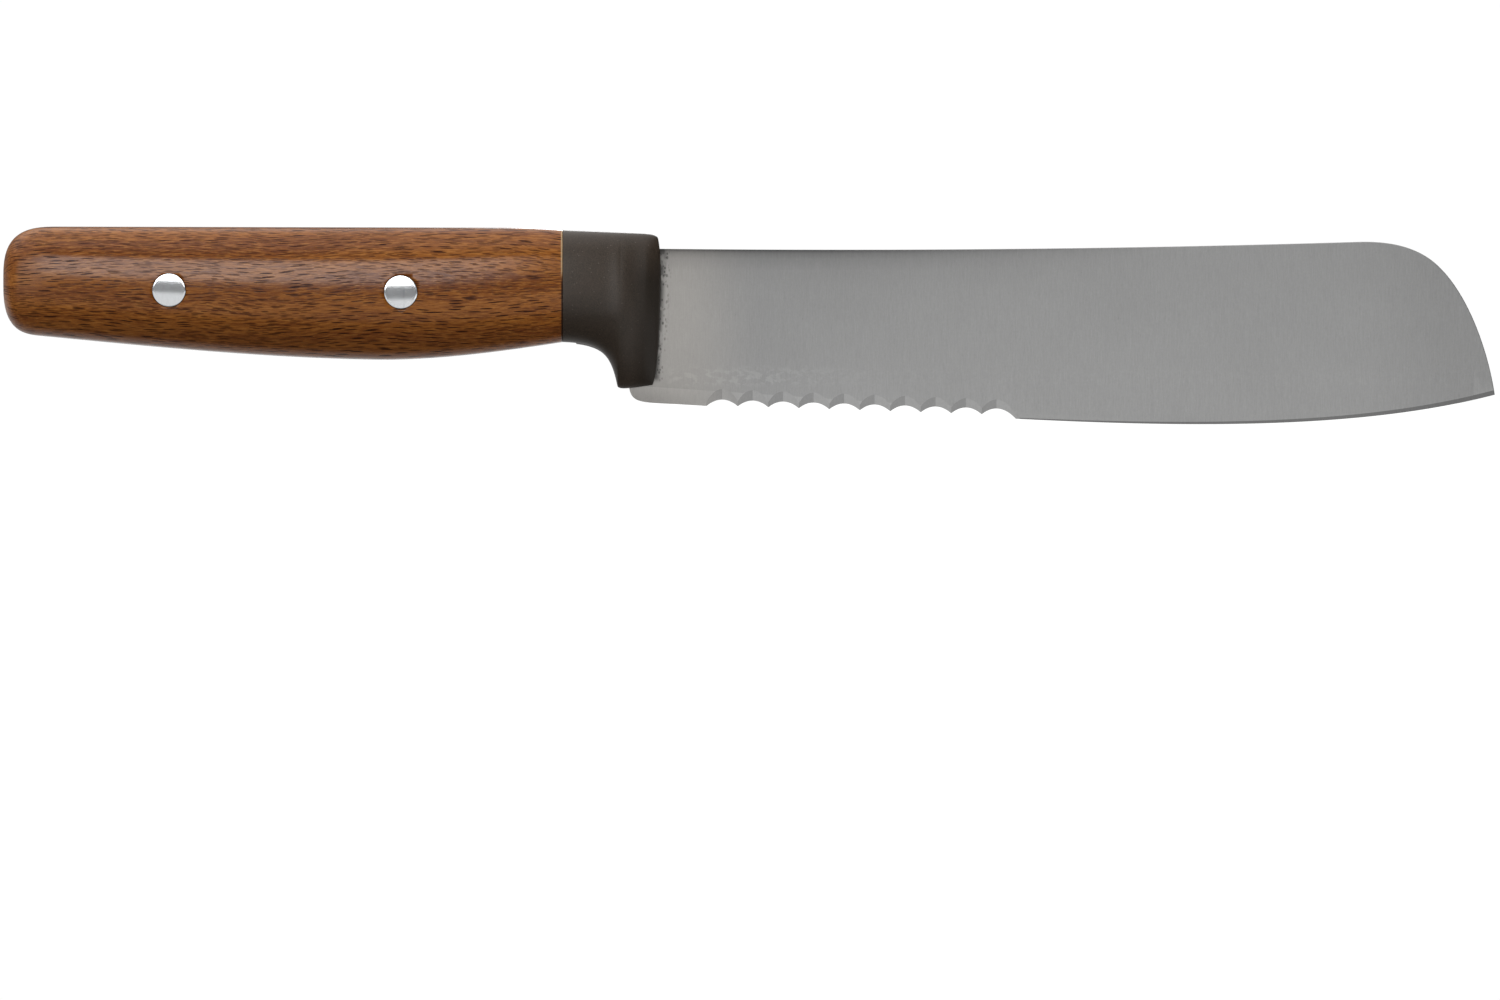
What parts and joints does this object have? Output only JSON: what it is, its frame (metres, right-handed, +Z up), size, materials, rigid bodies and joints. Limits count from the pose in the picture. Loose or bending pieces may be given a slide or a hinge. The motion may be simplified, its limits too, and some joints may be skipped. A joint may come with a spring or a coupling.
{
  "type": "bread knife",
  "caption": "Bread knife with a part-serrated, straight-backed steel blade, a moulded bolster with a finger guard, and a riveted wooden handle.",
  "frame": {"origin": "centre of the knife's overall bounding box", "axes": "+X along the knife from the handle's butt to the blade's tip, +Y through the thickness towards the knife's left side, +Z up from the edge to the spine"},
  "size_m": [0.32, 0.019, 0.0424],
  "materials": {
    "ground_steel": "fine grind lines across the blade, satin",
    "bolster_plastic": "dark brown-grey moulded plastic with a fine matt texture",
    "stained_beech": "beech stained warm brown, with a satin oil finish",
    "rivet_aluminium": "ground flush with the wood and lightly brushed"
  },
  "bodies": {
    "root": {"blade": "ground_steel", "bolster": "bolster_plastic", "right_scale": "stained_beech", "left_scale": "stained_beech", "rear_rivet_stem": "rivet_aluminium", "rear_rivet_tube": "rivet_aluminium", "front_rivet_stem": "rivet_aluminium", "front_rivet_tube": "rivet_aluminium"}
  },
  "joints": []
}
